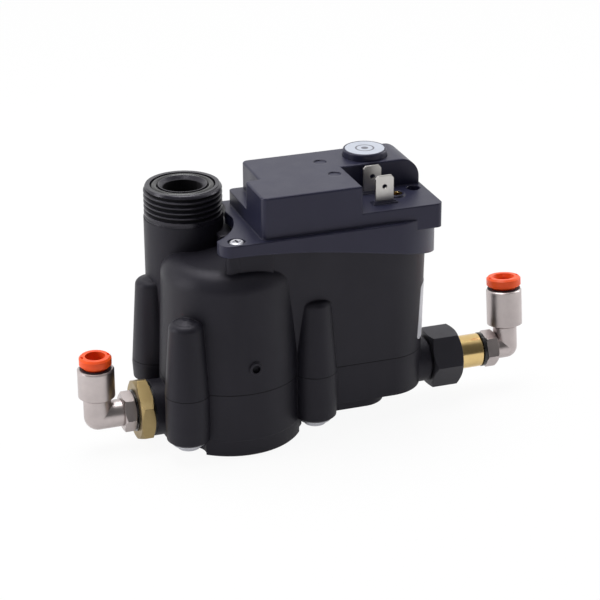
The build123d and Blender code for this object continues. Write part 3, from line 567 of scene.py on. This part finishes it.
# the camera, reflections and glass see the floor near white; it still takes the object's shadow
path = ft.nodes.new("ShaderNodeLightPath")
glow = ft.nodes.new("ShaderNodeEmission")
glow.inputs["Color"].default_value = (1, 1, 1, 1)
glow.inputs["Strength"].default_value = 1.0
mixer = ft.nodes.new("ShaderNodeMixShader")
seen = ft.nodes.new("ShaderNodeMath")
seen.operation = "MULTIPLY"
either = ft.nodes.new("ShaderNodeMath")
either.operation = "MULTIPLY_ADD"
either.use_clamp = True
ft.links.new(path.outputs["Is Glossy Ray"], either.inputs[0])
either.inputs[1].default_value = 0.55
ft.links.new(path.outputs["Is Camera Ray"], either.inputs[2])
through = ft.nodes.new("ShaderNodeMath")
through.operation = "MAXIMUM"
ft.links.new(either.outputs[0], through.inputs[0])
ft.links.new(path.outputs["Is Transmission Ray"], through.inputs[1])
ft.links.new(through.outputs[0], seen.inputs[0])
seen.inputs[1].default_value = 0.93
ft.links.new(seen.outputs[0], mixer.inputs[0])
ft.links.new(fb.outputs[0], mixer.inputs[1])
ft.links.new(glow.outputs[0], mixer.inputs[2])
ft.links.new(mixer.outputs[0], ft.nodes["Material Output"].inputs[0])
floor.data.materials.append(fm)

world = bpy.data.worlds.new("studio")
bpy.context.scene.world = world
world.use_nodes = True
wt = world.node_tree
wt.nodes.clear()
wout = wt.nodes.new("ShaderNodeOutputWorld")
wpath = wt.nodes.new("ShaderNodeLightPath")
wmix = wt.nodes.new("ShaderNodeMixShader")
soft = wt.nodes.new("ShaderNodeBackground")
# studio: white walls behind and beside the object, a dim room on the camera's side
wcoord = wt.nodes.new("ShaderNodeTexCoord")
wdot = wt.nodes.new("ShaderNodeVectorMath")
wdot.operation = "DOT_PRODUCT"
wdot.inputs[1].default_value = (-0.33, -0.94, 0.10)
wt.links.new(wcoord.outputs["Generated"], wdot.inputs[0])
wmap = wt.nodes.new("ShaderNodeMapRange")
wmap.inputs["From Min"].default_value = -1
wmap.inputs["From Max"].default_value = 1
wt.links.new(wdot.outputs["Value"], wmap.inputs["Value"])
wramp = wt.nodes.new("ShaderNodeValToRGB")
stops = [(0.0, 1.0), (0.30, 0.95), (0.52, 0.50), (0.66, 0.10), (1.0, 0.05)]
while len(wramp.color_ramp.elements) < len(stops):
    wramp.color_ramp.elements.new(0.5)
for e, (p, v) in zip(wramp.color_ramp.elements, stops):
    e.position = p
    e.color = (v * 0.985, v * 0.99, v, 1)
wt.links.new(wmap.outputs[0], wramp.inputs[0])
wt.links.new(wramp.outputs[0], soft.inputs[0])
soft.inputs[1].default_value = 0.85
white = wt.nodes.new("ShaderNodeBackground")
white.inputs[0].default_value = (1, 1, 1, 1)
white.inputs[1].default_value = 1.0
shine = wt.nodes.new("ShaderNodeMath")
shine.operation = "ADD"
wt.links.new(wpath.outputs["Is Glossy Ray"], shine.inputs[0])
wt.links.new(wpath.outputs["Is Transmission Ray"], shine.inputs[1])
behind = wt.nodes.new("ShaderNodeMath")
behind.operation = "MULTIPLY"
wt.links.new(shine.outputs[0], behind.inputs[0])
wt.links.new(wramp.outputs[0], behind.inputs[1])
shown = wt.nodes.new("ShaderNodeMath")
shown.operation = "ADD"
shown.use_clamp = True
wt.links.new(wpath.outputs["Is Camera Ray"], shown.inputs[0])
wt.links.new(behind.outputs[0], shown.inputs[1])
wt.links.new(shown.outputs[0], wmix.inputs[0])
wt.links.new(soft.outputs[0], wmix.inputs[1])
wt.links.new(white.outputs[0], wmix.inputs[2])
wt.links.new(wmix.outputs[0], wout.inputs[0])

centre = (cad_box[0] + cad_box[1]) / 2


def lamp(name, place, size, power):
    d = bpy.data.lights.new(name, "AREA")
    d.shape = "RECTANGLE"
    d.size, d.size_y = size
    d.energy = power
    o = bpy.data.objects.new(name, d)
    o.location = centre + Vector(place)
    o.rotation_mode = "QUATERNION"
    o.rotation_quaternion = (centre - o.location).to_track_quat("-Z", "Y")
    bpy.context.scene.collection.objects.link(o)


lamp("top_soft", (-0.05, 0.15, 0.80), (0.6, 0.5), 5.5)
lamp("left_strip", (-0.80, 0.10, 0.20), (0.20, 0.6), 2.6)
lamp("right_strip", (0.80, 0.10, 0.25), (0.20, 0.6), 1.8)
lamp("front_fill", (-0.45, -0.80, 0.60), (0.25, 0.25), 0.7)

bpy.context.scene.view_settings.view_transform = "Standard"
